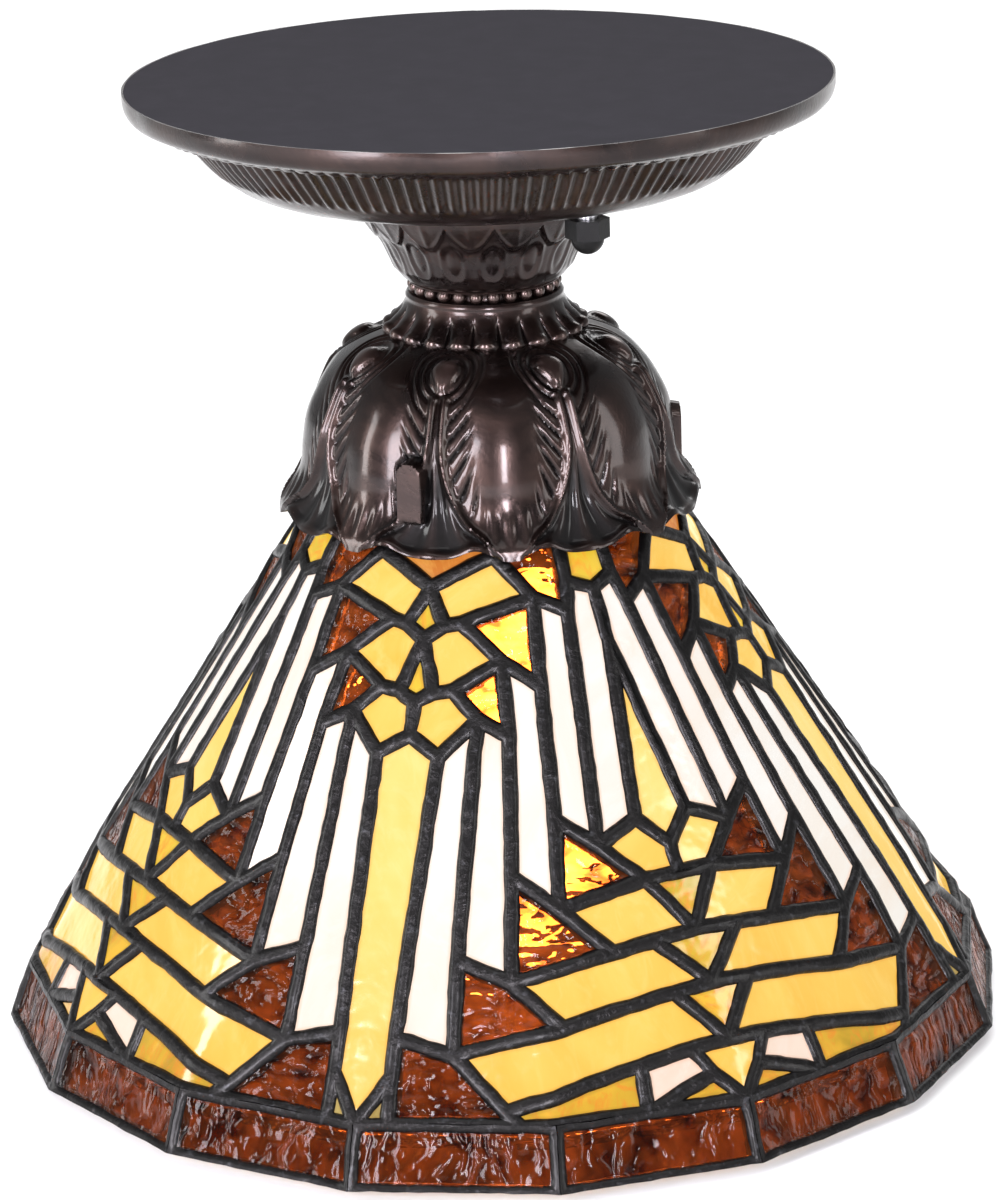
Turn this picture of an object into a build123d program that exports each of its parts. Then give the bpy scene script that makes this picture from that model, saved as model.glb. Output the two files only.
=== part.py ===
from build123d import *

import os
from math import cos, radians, sin, sqrt

# Leaded glass ceiling light: a cast canopy, neck, collar and bell carry a conical shade.
# Origin: centre of the canopy's top face. +Z points up at the ceiling. Millimetres.
os.makedirs("parts", exist_ok=True)

# --- driving dimensions ---------------------------------------------------------------
RIM_R = 101.6  # shade rim, measured to the corners of its sixteen sides
RIM_Z = -190.9
SKIRT_R = 96.8  # where the main cone ends and the skirt of flat pieces begins
SKIRT_Z = -178.7
CONE_SLOPE = 0.6486  # radius gained for each millimetre downwards
SHADE_TOP_Z = -78.0
SHADE_TURN = -17.375  # turn of the shade's main motif from the front
GLASS = 3.0
LEAD_PROUD = 0.5  # solder stands this far above and below the glass
LEAD_WIDE = 2.6
CONE_SIDES = 48
RIM_SIDES = 16
REPEATS = 4

CANOPY_R = 69.0
CANOPY_LIP = 0.4  # thin lip round the backing plate
CANOPY_SEAT_Z = -21.8  # underside of the canopy, where the neck starts
NECK_END_Z = -39.4
BEAD_COUNT = 26
BEAD_R = 1.25
BEAD_RING_R = 13.6
BEAD_RING_Z = -40.7
COLLAR_TOP_Z = -42.0
BELL_TOP_Z = -49.3
BELL_EDGE_Z = -85.4
BOSS_TURN = -24.3
BOSS_WIDE = 5.3
BOSS_R = 38.3
LEDGE_Z = -77.0

PIPE_R = 4.85  # one-eighth inch lamp pipe
PIPE_BORE_R = 3.3
PIPE_HOLE_R = 5.0
PIPE_TOP_Z = -13.0
PIPE_END_Z = -62.0
STUD_R = 2.0  # number 8 screw
STUD_SPREAD = 35.0
STUD_TURN = 34.5
NUT_FLATS = 7.4
NUT_TOP_Z = -21.9

SOCKET_R = 17.0
SOCKET_TOP_Z = -68.0
SOCKET_END_Z = -96.0
BULB_BASE_R = 13.0  # medium screw base
BULB_R = 30.0
BULB_END_Z = -178.0


# --- helpers --------------------------------------------------------------------------
def write(piece, label):
    """Name a finished piece and write its STEP file."""
    piece.label = label
    export_step(piece, f"parts/{label}.step")


def heading(turn):
    """Plane through the axis whose X points out at a turn from the front (-Y)."""
    return Plane(origin=(0, 0, 0), x_dir=(sin(radians(turn)), -cos(radians(turn)), 0), z_dir=(0, 0, 1))


def ring_point(radius, turn, z):
    """Point at a radius and height, at a turn measured from the front towards +X."""
    return Vector(radius * sin(radians(turn)), -radius * cos(radians(turn)), z)


def turned(*profile):
    """Solid of revolution about Z from a closed outline of (radius, z) points."""
    with BuildPart() as solid:
        with BuildSketch(Plane.XZ):
            with BuildLine():
                Polyline(*profile, close=True)
            make_face()
        revolve(axis=Axis.Z)
    return solid.part


def washer(inner, outer, low, high):
    """Flat ring between two heights."""
    with BuildPart() as ring:
        with BuildSketch(Plane.XY.offset(low)):
            Circle(outer)
            Circle(inner, mode=Mode.SUBTRACT)
        extrude(amount=high - low)
    return ring.part


def hex_nut(flats, bore, low, high):
    """Hexagon nut on the Z axis."""
    with BuildPart() as nut:
        with BuildSketch(Plane.XY.offset(low)):
            RegularPolygon(flats / 2, 6, major_radius=False)
            Circle(bore, mode=Mode.SUBTRACT)
        extrude(amount=high - low)
    return nut.part


# --- canopy and its fixings -----------------------------------------------------------
with BuildPart() as backing_plate:
    with BuildSketch(Plane.XY.offset(-1.2)):
        Circle(CANOPY_R - CANOPY_LIP)
    extrude(amount=1.2)
    # knock-outs for the supply wires and the box screws, scored from below
    with BuildSketch(Plane.XY.offset(-1.2)):
        Circle(11)
        Circle(10, mode=Mode.SUBTRACT)
    extrude(amount=0.7, mode=Mode.SUBTRACT)
    with BuildSketch(heading(STUD_TURN).offset(-1.2)):
        with Locations((44.45, 0), (-44.45, 0)):
            SlotOverall(12, 5)
    extrude(amount=0.7, mode=Mode.SUBTRACT)
write(backing_plate.part, "backing_plate")

STUD_SPOTS = [ring_point(STUD_SPREAD, STUD_TURN, 0), ring_point(STUD_SPREAD, STUD_TURN + 180, 0)]
STUD_XY = [(spot.X, spot.Y) for spot in STUD_SPOTS]

with BuildPart() as canopy:
    with BuildSketch(Plane.XZ):
        with BuildLine():
            Polyline(
                (CANOPY_R - CANOPY_LIP, 0), (CANOPY_R, 0), (CANOPY_R, -2), (CANOPY_R - 0.5, -3.6), (67.3, -4.5),
                (64, -5.2), (60.4, -6.1), (58.4, -7.6), (55.9, -10.7), (53.7, -13.3), (51.5, -15.6), (49.8, -17),
                (47.9, -18.1), (45.5, -18.9), (42, -19.5), (27, CANOPY_SEAT_Z), (PIPE_HOLE_R, CANOPY_SEAT_Z),
                (PIPE_HOLE_R, CANOPY_SEAT_Z + 2), (27, CANOPY_SEAT_Z + 2), (42, -17.6), (45, -17), (47.2, -16.3),
                (50, -14.2), (52.2, -12.1), (54.3, -9.6), (56.8, -6.6), (60, -4.5), (63.5, -3.6), (66.6, -2.9),
                (66.6, -1.3), (CANOPY_R - CANOPY_LIP, -1.3), close=True,
            )
        make_face()
    revolve(axis=Axis.Z)
    with BuildSketch(Plane.XY.offset(-25)):
        with Locations(*STUD_XY):
            Circle(STUD_R + 0.3)
    extrude(amount=10, mode=Mode.SUBTRACT)
write(canopy.part, "canopy")

with BuildPart() as crossbar:
    with BuildSketch(heading(STUD_TURN).offset(-4.8)):
        RectangleRounded(104, 14, 3)
        Circle(5.2, mode=Mode.SUBTRACT)
        with Locations((44.45, 0), (-44.45, 0)):
            SlotOverall(9, 4.4, mode=Mode.SUBTRACT)
        with Locations((STUD_SPREAD, 0), (-STUD_SPREAD, 0)):
            Circle(STUD_R, mode=Mode.SUBTRACT)
        with Locations((18, 3)):
            Circle(1.75, mode=Mode.SUBTRACT)
    extrude(amount=1.6)
write(crossbar.part, "crossbar")

with BuildPart() as canopy_studs:
    with BuildSketch(Plane.XY.offset(-26.2)):
        with Locations(*STUD_XY):
            Circle(STUD_R)
    extrude(amount=23)
write(canopy_studs.part, "canopy_studs")

with BuildPart() as stud_locknuts:
    with BuildSketch(Plane.XY.offset(-7.6)):
        with Locations(*STUD_XY):
            RegularPolygon(NUT_FLATS / 2, 6, major_radius=False)
            Circle(STUD_R, mode=Mode.SUBTRACT)
    extrude(amount=2.8)
write(stud_locknuts.part, "stud_locknuts")

with BuildPart() as ground_screw:
    with BuildSketch(heading(STUD_TURN).offset(-8)):
        with Locations((18, 3)):
            Circle(1.75)
    extrude(amount=4.9)
    with BuildSketch(heading(STUD_TURN).offset(-6.6)):
        with Locations((18, 3)):
            RegularPolygon(3.6, 6)
    extrude(amount=1.8)
write(ground_screw.part, "ground_screw")

for label, (x, y) in zip(("cap_nut_front", "cap_nut_back"), STUD_XY):
    with BuildPart() as cap_nut:
        with BuildSketch(Plane.XY.offset(NUT_TOP_Z - 3.8)):
            with Locations((x, y)):
                RegularPolygon(NUT_FLATS / 2, 6, major_radius=False)
        extrude(amount=3.8)
        with Locations((x, y, NUT_TOP_Z - 3.8)):
            Sphere(3.2, arc_size1=-90, arc_size2=0, align=(Align.CENTER, Align.CENTER, Align.MAX))
        with BuildSketch(Plane.XY.offset(-26.3)):
            with Locations((x, y)):
                Circle(STUD_R + 0.05)
        extrude(amount=6, mode=Mode.SUBTRACT)
    write(cap_nut.part, label)

# --- lamp pipe and its nuts -----------------------------------------------------------
write(washer(PIPE_BORE_R, PIPE_R, PIPE_END_Z, PIPE_TOP_Z), "lamp_pipe")
write(washer(PIPE_R, 9.5, -19.8, -18.6), "canopy_washer")
write(hex_nut(14, PIPE_R, -18.6, -15.4), "canopy_locknut")
write(washer(PIPE_R, 9, -52.7, -51.5), "bell_washer")
write(hex_nut(14, PIPE_R, -55.9, -52.7), "bell_locknut")

# --- neck, bead ring and collar: spun castings threaded on the pipe --------------------
neck = turned(
    (PIPE_HOLE_R, NECK_END_Z), (15.2, NECK_END_Z), (16.3, -38.6), (17.6, -36.8), (18.8, -34), (20.2, -31),
    (22.4, -28), (24.4, -24.6), (25.4, CANOPY_SEAT_Z), (23.6, CANOPY_SEAT_Z), (22.8, -24.4), (20.8, -27.4),
    (18.4, -31), (17, -34.4), (15.7, -36.4), (14, -37.6), (PIPE_HOLE_R, -37.6),
)
write(neck, "neck")

with BuildPart() as bead_ring:
    with BuildSketch(Plane.XY.offset(COLLAR_TOP_Z)):
        Circle(BEAD_RING_R - 0.3)
        Circle(PIPE_HOLE_R, mode=Mode.SUBTRACT)
    extrude(amount=NECK_END_Z - COLLAR_TOP_Z)
    with Locations((0, 0, BEAD_RING_Z)):
        with PolarLocations(BEAD_RING_R, BEAD_COUNT):
            Sphere(BEAD_R)
write(bead_ring.part, "bead_ring")

with BuildPart() as collar:
    with BuildSketch(Plane.XZ):
        with BuildLine():
            Polyline(
                (PIPE_HOLE_R, COLLAR_TOP_Z), (15.3, COLLAR_TOP_Z), (15.8, -44), (16.8, -46), (18.4, -48),
                (19.6, BELL_TOP_Z), (17.6, BELL_TOP_Z), (16.4, -48), (14.8, -46), (13.8, -43.6),
                (PIPE_HOLE_R, -43.6), close=True,
            )
        make_face()
    revolve(axis=Axis.Z)
write(collar.part, "collar")

# --- bell: holds the shade by three bayonet pockets behind raised bosses ----------------
with BuildPart() as bell:
    with BuildSketch(Plane.XZ):
        with BuildLine():
            Polyline(
                (PIPE_HOLE_R, BELL_TOP_Z), (19, BELL_TOP_Z), (24, -51.2), (28.5, -54), (31.5, -57.5), (33.6, -61.5),
                (35.4, -66), (36.3, -71), (36.9, -76), (38.6, -80), (40.8, -83.4), (42.2, BELL_EDGE_Z),
                (40, BELL_EDGE_Z), (38.8, -83.4), (36.8, -80.4), (35.2, -77.9), (33.3, -77.9), (33.3, LEDGE_Z),
                (35.1, LEDGE_Z), (34.5, -71), (33.6, -66.4), (31.8, -62), (29.8, -58.4), (27.2, -55.6),
                (23, -53.1), (18.4, -51.5), (PIPE_HOLE_R, -51.5), close=True,
            )
        make_face()
    revolve(axis=Axis.Z)
    for turn in range(3):
        face = heading(BOSS_TURN + 120 * turn)
        with BuildSketch(Plane(origin=face.x_dir * 34.9, x_dir=face.y_dir, z_dir=face.x_dir)):
            with Locations((0, -74.6)):
                SlotOverall(14.4, BOSS_WIDE, rotation=90)
        extrude(amount=BOSS_R - 34.9)
        with BuildSketch(Plane(origin=face.x_dir * 31, x_dir=face.y_dir, z_dir=face.x_dir)):
            with Locations((0, -77.5)):
                Rectangle(3.6, 15)
        extrude(amount=36.9 - 31, mode=Mode.SUBTRACT)
write(bell.part, "bell")

# --- lampholder -----------------------------------------------------------------------
socket_cap = turned(
    (PIPE_R, -64), (PIPE_R, -57), (7.5, -57), (9, -58.4), (14.6, -62.5), (SOCKET_R, -65.5),
    (SOCKET_R, SOCKET_TOP_Z), (SOCKET_R - 1, SOCKET_TOP_Z), (SOCKET_R - 1, -66), (14, -63.6), (8.6, -60),
    (7, -59.6), (7, -64),
)
write(socket_cap, "socket_cap")
write(washer(SOCKET_R - 0.8, SOCKET_R, SOCKET_END_Z, SOCKET_TOP_Z), "socket_shell")
write(washer(14.6, SOCKET_R - 0.8, SOCKET_END_Z + 1, SOCKET_TOP_Z), "socket_liner")
with BuildPart() as socket_block:
    with BuildSketch(Plane.XY.offset(-71.6)):
        Circle(14.5)
        with Locations((1.6, 0), (-1.6, 0)):
            Circle(1.0, mode=Mode.SUBTRACT)
    extrude(amount=3.4)
write(socket_block.part, "socket_block")
with BuildPart() as screw_shell:
    with BuildSketch(Plane.XY.offset(-94)):
        Circle(13.7)
        Circle(13.3, mode=Mode.SUBTRACT)
    extrude(amount=94 - 71.6)
write(screw_shell.part, "screw_shell")
with BuildPart() as centre_contact:
    with BuildSketch(Plane.XY.offset(-72.4)):
        Rectangle(5, 12)
    extrude(amount=0.8)
write(centre_contact.part, "centre_contact")

# --- wiring: two leads up the pipe into wire connectors ---------------------------------
for label, side in (("lead_black", 1), ("lead_white", -1)):
    out = heading(STUD_TURN + 90).x_dir * side
    rise = out * 1.6
    with BuildPart() as lead:
        with BuildLine() as route:
            FilletPolyline(
                rise + Vector(0, 0, -68.2), rise + Vector(0, 0, -9.4), out * 22 + Vector(0, 0, -9.4), radius=3
            )
        with BuildSketch(Plane(origin=rise + Vector(0, 0, -68.2), z_dir=(0, 0, 1))):
            Circle(0.9)
        sweep(path=route.line)
    write(lead.part, label)
with BuildPart() as wire_connectors:
    for side in (1, -1):
        out = heading(STUD_TURN + 90).x_dir * side
        with BuildSketch(Plane(origin=out * 22 + Vector(0, 0, -9.4), z_dir=out)) as mouth:
            Circle(4)
        with BuildSketch(Plane(origin=out * 37 + Vector(0, 0, -9.4), z_dir=out)) as crown:
            Circle(2.6)
        loft()
write(wire_connectors.part, "wire_connectors")

# --- bulb -----------------------------------------------------------------------------
def bulb_outline(shrink):
    """Half section of the bulb, taken in from its outside by an amount."""
    with BuildLine() as outline:
        swell = Spline(
            (14.2 - shrink, -97), (15.4 - shrink, -105), (21.5 - shrink, -121), (BULB_R - shrink, -147),
            tangents=[(0, -1), (0, -1)],
        )
        tip = Spline(
            swell @ 1, (21 - shrink, -169), (0, BULB_END_Z + shrink), tangents=[(0, -1), (-1, 0)]
        )
        Polyline(tip @ 1, (0, -97), swell @ 0)
    return outline.line


with BuildPart() as bulb_glass:
    for shrink, mode in ((0, Mode.ADD), (0.8, Mode.SUBTRACT)):
        with BuildSketch(Plane.XZ):
            with BuildLine():
                add(bulb_outline(shrink))
            make_face()
        revolve(axis=Axis.Z, mode=mode)
write(bulb_glass.part, "bulb_glass")

with BuildPart() as bulb_base:
    with BuildSketch(Plane.XZ):
        with BuildLine():
            Polyline(
                (0, -72.6), (4.5, -72.6), (6.5, -74.2), (BULB_BASE_R, -76), (BULB_BASE_R, -95), (14.2, -96.9),
                (12.6, -96.9), (11.8, -95), (11.8, -77.4), (0, -75.6), close=True,
            )
        make_face()
    revolve(axis=Axis.Z)
write(bulb_base.part, "bulb_base")

with BuildPart() as filament_mount:
    with BuildSketch(Plane.XZ):
        with BuildLine():
            Polyline((0, -97.2), (8, -97.2), (3, -103), (2.2, -128), (0, -128), close=True)
        make_face()
    revolve(axis=Axis.Z)
write(filament_mount.part, "filament_mount")

with BuildPart() as filament:
    with BuildLine():
        arch = FilletPolyline((2, 0, -128.2), (12, 0, -146), (-12, 0, -146), (-2, 0, -128.2), radius=4)
    with BuildSketch(Plane(origin=arch @ 0, z_dir=arch % 0)):
        Circle(0.5)
    sweep(path=arch)
write(filament.part, "filament")

# --- shade ring: caps the cone and carries the three bayonet tabs -----------------------
def cone_r(z):
    """Radius of the glass's outer face at a height."""
    return SKIRT_R + CONE_SLOPE * (SKIRT_Z - z)


with BuildPart() as shade_ring:
    with BuildSketch(Plane.XZ):
        with BuildLine():
            Polyline(
                (26.4, SHADE_TOP_Z), (cone_r(SHADE_TOP_Z), SHADE_TOP_Z), (31.4, -76.8), (31.4, -75),
                (30.2, -74), (26.4, -74), close=True,
            )
        make_face()
    revolve(axis=Axis.Z)
    with BuildSketch(Plane.XY.offset(-76.7)):
        with PolarLocations(31.4, 3, start_angle=BOSS_TURN - 90 - 20):
            Rectangle(5.6, 3.2)
    extrude(amount=1.4)
write(shade_ring.part, "shade_ring")

# --- leaded shade ---------------------------------------------------------------------
# Joints of the lead lines in half a motif: turn from the motif's axis, and height.
JOINTS = {
    "top_a": (0, SHADE_TOP_Z), "top_1": (16, SHADE_TOP_Z), "top_2": (38, SHADE_TOP_Z), "top_b": (45, SHADE_TOP_Z),
    "a0": (0, -91.3), "a1": (0, -99.9), "a2": (0, -110.3), "a3": (0, -115.7), "a_end": (0, SKIRT_Z),
    "b1": (17.5, -85.9), "b2": (28, -93.2), "b3": (36.5, -96), "b5": (38, -91), "b6": (45, -93),
    "k1": (4.8, -97.6), "n1": (9, -97), "n2": (18.7, -103.4), "n4": (27, -107.9), "k2": (3.8, -108.7),
    "n3": (8, -108.2), "n6": (13.4, -112.9), "n5": (19.6, -115.8), "n7": (6, -119.2), "b7": (45, -102),
    "h5": (26.5, -129.8), "g1": (33, -134.8), "g2": (40.2, -131.2), "g3": (45, -136.2), "h2": (18.9, -138.5),
    "h7": (25.6, -144.3), "c1": (39.3, -141.2), "c2": (45, -141), "d1": (45, -150.5), "e1": (38.4, -151.1),
    "i1": (32.3, -152), "h1": (11, -151.8), "h4": (18.2, -155.6), "q1": (24.5, -163.2), "e2": (39.5, -159.9),
    "d2": (45, -159.3), "j1": (3.6, -164.6), "j2": (10.8, -167.3), "j3": (3.6, -170.8), "e3": (40, -169.4),
    "d3": (45, -168.7), "j4": (17, -176.3), "j5": (33.4, -170.9), "j7": (42, -173.8), "s1": (3.6, SKIRT_Z),
    "s2": (18.8, SKIRT_Z), "s3": (33.4, SKIRT_Z), "b_end": (45, SKIRT_Z),
}
# Panes as the joints round them. A pane that starts on an axis joint is one half of a
# symmetric pane: its outline runs from axis to axis, and its mirror image completes it.
HALF_PANES = {
    "glass_amber_blades": ["a3 n7 j1 j3 a_end", "b7 g2 g3"],
    "glass_green": [
        "a0 k1 a1", "a1 k2 a2", "top_b top_2 b5 b6", "c2 c1 d1", "d1 e1 d2", "d2 e2 d3",
    ],
    "glass_orange": ["top_a top_1 b1 a0"],
    "glass_amber": ["d3 e3 j7 b_end"],
}
PANES = {
    "glass_white": [
        "n7 n6 h1 j2 j1", "n6 n5 h2 h4 h1", "n2 n4 h5 h7 h2 n5", "b2 b3 g1 h5 n4", "b5 b6 b7 g2 g1 b3",
    ],
    "glass_amber": [
        "a0 b1 b2 n1 k1", "k1 n1 n2 n3 k2 a1", "a2 k2 n3 n6 n7 a3", "g1 g2 g3 c2 c1", "h7 c1 d1 e1 i1",
        "h4 i1 e1 d2 e2 q1", "j2 q1 e2 d3 e3 j5 j4",
    ],
    "glass_brown": [
        "b1 top_1 top_2 b5 b3 b2", "n1 b2 n4 n2", "n3 n2 n5 n6", "h5 g1 c1 h7", "h2 h7 i1 h4", "h1 h4 q1 j2",
        "j1 j2 j4 s2 s1 j3",
    ],
    "glass_green": ["j4 j5 s3 s2", "s3 j7 b_end"],
    "glass_pink": ["j5 e3 j7 s3"],
    "glass_tips": ["j3 s1 a_end"],
}


def cone_point(joint):
    """Place of a lead joint on the cone, with the motif's axis along +X."""
    turn, z = joint
    return Vector(cone_r(z) * cos(radians(turn)), cone_r(z) * sin(radians(turn)), z)


def outline_of(names, on_axis):
    """Joints round a pane, completed by their mirror image if the pane is on an axis."""
    joints = [JOINTS[name] for name in names.split()]
    if not on_axis:
        return joints
    axis_turn = joints[0][0]
    return joints + [(2 * axis_turn - turn, z) for turn, z in reversed(joints[1:-1])]


def pane_cutter(points, turn, slope):
    """Prism through the wall, inside the lead that rounds a pane."""
    middle = sum(points, Vector()) / len(points)
    across = Vector(-sin(radians(turn)), cos(radians(turn)), 0)
    out = Vector(cos(radians(turn)), sin(radians(turn)), slope).normalized()
    face = Plane(origin=middle, x_dir=across, z_dir=out)
    flat = [face.to_local_coords(point) for point in points]
    with BuildPart() as cutter:
        with BuildSketch(face):
            with BuildLine():
                Polyline(*[(point.X, point.Y) for point in flat], close=True)
            make_face()
            offset(amount=-LEAD_WIDE / 2, kind=Kind.INTERSECTION, mode=Mode.REPLACE)
        extrude(amount=9, both=True)
    return cutter.part


def wall(sides, low, high, grow, shrink):
    """Hollow pyramid wall between two (radius, z) rings, from one radial offset to another."""
    with BuildPart() as shell:
        for reach, mode in ((grow, Mode.ADD), (shrink, Mode.SUBTRACT)):
            for radius, z in (low, high):
                with BuildSketch(Plane.XY.offset(z)):
                    RegularPolygon(radius + reach, sides)
            loft(ruled=True, mode=mode)
    return shell.part


def slice_between(shell, start, end):
    """Part of a wall between two turns from +X."""
    first = Vector(-sin(radians(start)), cos(radians(start)), 0)
    last = Vector(sin(radians(end)), -cos(radians(end)), 0)
    with BuildPart() as piece:
        add(shell)
        split(bisect_by=Plane(origin=(0, 0, 0), z_dir=first), keep=Keep.TOP)
        split(bisect_by=Plane(origin=(0, 0, 0), z_dir=last), keep=Keep.TOP)
    return piece.part


def cut_through(shell, cutters):
    """Wall with panes cut out of it."""
    with BuildPart() as piece:
        add(shell)
        for cutter in cutters:
            add(cutter, mode=Mode.SUBTRACT)
    return piece.part


def kept_inside(shell, cutter):
    """The pane itself: what the cutter takes from the glass wall."""
    with BuildPart() as piece:
        add(shell)
        add(cutter, mode=Mode.INTERSECT)
    return piece.part


def all_round(piece, step, mirrored=False):
    """Copies of a piece at every step round the shade, in the shade's own turn."""
    halves = [piece, piece.mirror(Plane.XZ)] if mirrored else [piece]
    turns = [SHADE_TURN - 90 + step * k for k in range(round(360 / step))]
    return [half.rotate(Axis.Z, turn) for half in halves for turn in turns]


def write_group(pieces, label):
    """Write many separate solids as one node."""
    write(Compound([solid for piece in pieces for solid in piece.solids()]), label)


RADIAL = sqrt(1 + CONE_SLOPE**2)  # radial distance for one millimetre through the wall
MOTIF = 360 / REPEATS
SIDE = 360 / RIM_SIDES
cone_rings = ((SKIRT_R, SKIRT_Z), (cone_r(SHADE_TOP_Z), SHADE_TOP_Z))
skirt_rings = ((RIM_R, RIM_Z), (SKIRT_R, SKIRT_Z))
lead_faces = (LEAD_PROUD * RADIAL, -(GLASS + LEAD_PROUD) * RADIAL)
glass_faces = (0, -GLASS * RADIAL)

glass_wall = slice_between(wall(CONE_SIDES, *cone_rings, *glass_faces), -30, 75)
cutters = []
groups = {}
for panes, on_axis in ((PANES, False), (HALF_PANES, True)):
    for label, outlines in panes.items():
        for names in outlines:
            joints = outline_of(names, on_axis)
            turn = sum(joint[0] for joint in joints) / len(joints)
            cutter = pane_cutter([cone_point(joint) for joint in joints], turn, CONE_SLOPE)
            pane = kept_inside(glass_wall, cutter)
            cutters.append(cutter)
            groups.setdefault(label, []).extend(all_round(pane, MOTIF, not on_axis))
for label, pieces in groups.items():
    write_group(pieces, label)

lead_wall = wall(CONE_SIDES, *cone_rings, *lead_faces)
lead = []
for start in (0, SIDE):
    sector = cut_through(slice_between(lead_wall, start, start + SIDE), cutters)
    lead.extend(all_round(sector, MOTIF, True))
write_group(lead, "shade_lead")

# --- skirt of flat panes --------------------------------------------------------------
skirt_slope = (RIM_R - SKIRT_R) * cos(radians(SIDE / 2)) / (SKIRT_Z - RIM_Z)
skirt_corners = [
    Vector(radius * cos(radians(turn)), radius * sin(radians(turn)), z)
    for radius, z, turn in (
        (SKIRT_R, SKIRT_Z, 0), (SKIRT_R, SKIRT_Z, SIDE), (RIM_R, RIM_Z + LEAD_WIDE / 2, SIDE),
        (RIM_R, RIM_Z + LEAD_WIDE / 2, 0),
    )
]
skirt_cutter = pane_cutter(skirt_corners, SIDE / 2, skirt_slope)
skirt_pane = kept_inside(slice_between(wall(RIM_SIDES, *skirt_rings, *glass_faces), 0, SIDE), skirt_cutter)
write_group(all_round(skirt_pane, SIDE), "glass_skirt")
skirt_lead = cut_through(slice_between(wall(RIM_SIDES, *skirt_rings, *lead_faces), 0, SIDE), [skirt_cutter])
write_group(all_round(skirt_lead, SIDE), "skirt_lead")
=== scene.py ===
import random
from math import asin, atan2, cos, degrees, exp, hypot, pi, radians, sin, sqrt, tau

import bmesh
import bpy
from mathutils import Matrix, Vector, noise


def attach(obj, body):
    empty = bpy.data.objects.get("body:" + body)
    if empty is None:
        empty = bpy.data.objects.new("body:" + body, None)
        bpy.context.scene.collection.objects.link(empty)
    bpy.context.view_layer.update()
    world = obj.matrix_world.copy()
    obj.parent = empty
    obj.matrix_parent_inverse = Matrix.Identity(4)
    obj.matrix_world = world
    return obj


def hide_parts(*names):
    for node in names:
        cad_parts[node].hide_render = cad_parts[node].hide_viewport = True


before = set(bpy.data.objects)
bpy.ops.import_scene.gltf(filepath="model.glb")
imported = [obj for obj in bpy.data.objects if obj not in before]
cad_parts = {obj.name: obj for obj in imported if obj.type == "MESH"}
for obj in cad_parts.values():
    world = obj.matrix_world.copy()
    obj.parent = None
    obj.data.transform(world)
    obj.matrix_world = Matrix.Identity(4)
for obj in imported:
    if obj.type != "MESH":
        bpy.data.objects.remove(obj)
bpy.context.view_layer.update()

# Leaded glass ceiling light. Shapes are worked out in millimetres and scaled to metres at the end.
MM = 0.001
noise.seed_set(7)  # without this the came's wobble would differ each run

# --- driving sizes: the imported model's, but the came and the beads are a little fuller ----
RIM_R = 101.6
RIM_Z = -190.9
SKIRT_R = 96.8
SKIRT_Z = -178.7
CONE_SLOPE = 0.6486
SHADE_TOP_Z = -78.0
SHADE_TURN = -17.375
GLASS = 3.0
CAME_WIDE = 3.1
CAME_PROUD = 0.8
FLATTEN = 0.25  # how far a pane goes from following the cone towards being flat
SIDES = 16
MOTIF = 90.0
BOSS_TURN = -24.3
BEAD_COUNT = 26
BEAD_RING_R = 13.9
BEAD_RING_Z = -40.7


# --- making pieces ----------------------------------------------------------------------
def ease(value, low, high):
    """0 below low, 1 above high and a smooth rise between."""
    t = min(1.0, max(0.0, (value - low) / (high - low)))
    return t * t * (3 - 2 * t)


def turn_of(point):
    """Turn of a point about the axis in degrees, from the front towards +X."""
    return degrees(atan2(point.x, -point.y))


def smooth_line(points, step):
    """Points every step or so along a smooth curve through the given (radius, z) points."""
    ends = [points[0]] + list(points) + [points[-1]]
    line = []
    for a, b, c, d in zip(ends, ends[1:], ends[2:], ends[3:]):
        count = max(1, round(hypot(c[0] - b[0], c[1] - b[1]) / step))
        for k in range(count):
            t = k / count
            line.append(tuple(
                0.5 * (2 * b[i] + (c[i] - a[i]) * t + (2 * a[i] - 5 * b[i] + 4 * c[i] - d[i]) * t * t
                       + (3 * b[i] - a[i] - 3 * c[i] + d[i]) * t ** 3)
                for i in (0, 1)
            ))
    return line + [tuple(points[-1])]


def all_round(bm, count):
    """Copies of everything turned evenly about the axis and joined where they meet."""
    first = bm.verts[:] + bm.edges[:] + bm.faces[:]
    for k in range(1, count):
        copy = bmesh.ops.duplicate(bm, geom=first)["geom"]
        verts = [part for part in copy if isinstance(part, bmesh.types.BMVert)]
        bmesh.ops.rotate(bm, cent=(0, 0, 0), matrix=Matrix.Rotation(tau * k / count, 3, "Z"), verts=verts)
    bmesh.ops.remove_doubles(bm, verts=bm.verts, dist=2e-3)
    bmesh.ops.recalc_face_normals(bm, faces=bm.faces)


def spun(outer, inner, sectors, columns):
    """Solid of revolution in equal sectors, each of so many columns of faces.
    Its outer skin keeps the distance along the outline in a layer."""
    bm = bmesh.new()
    along = bm.verts.layers.float.new("along")
    bm.verts.layers.float.new("crest")
    ring = []
    run = 0.0
    for k, (radius, z) in enumerate(list(outer) + list(inner)):
        vert = bm.verts.new((0, -radius, z))
        if k:
            run += hypot(radius - last[0], z - last[1])
        vert[along] = run if k < len(outer) else -1.0
        last = (radius, z)
        ring.append(vert)
    edges = [bm.edges.new(pair) for pair in zip(ring, ring[1:] + ring[:1])]
    bmesh.ops.spin(
        bm, geom=ring + edges, axis=(0, 0, 1), cent=(0, 0, 0), angle=tau / sectors, steps=columns
    )
    all_round(bm, sectors)
    return bm


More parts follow.
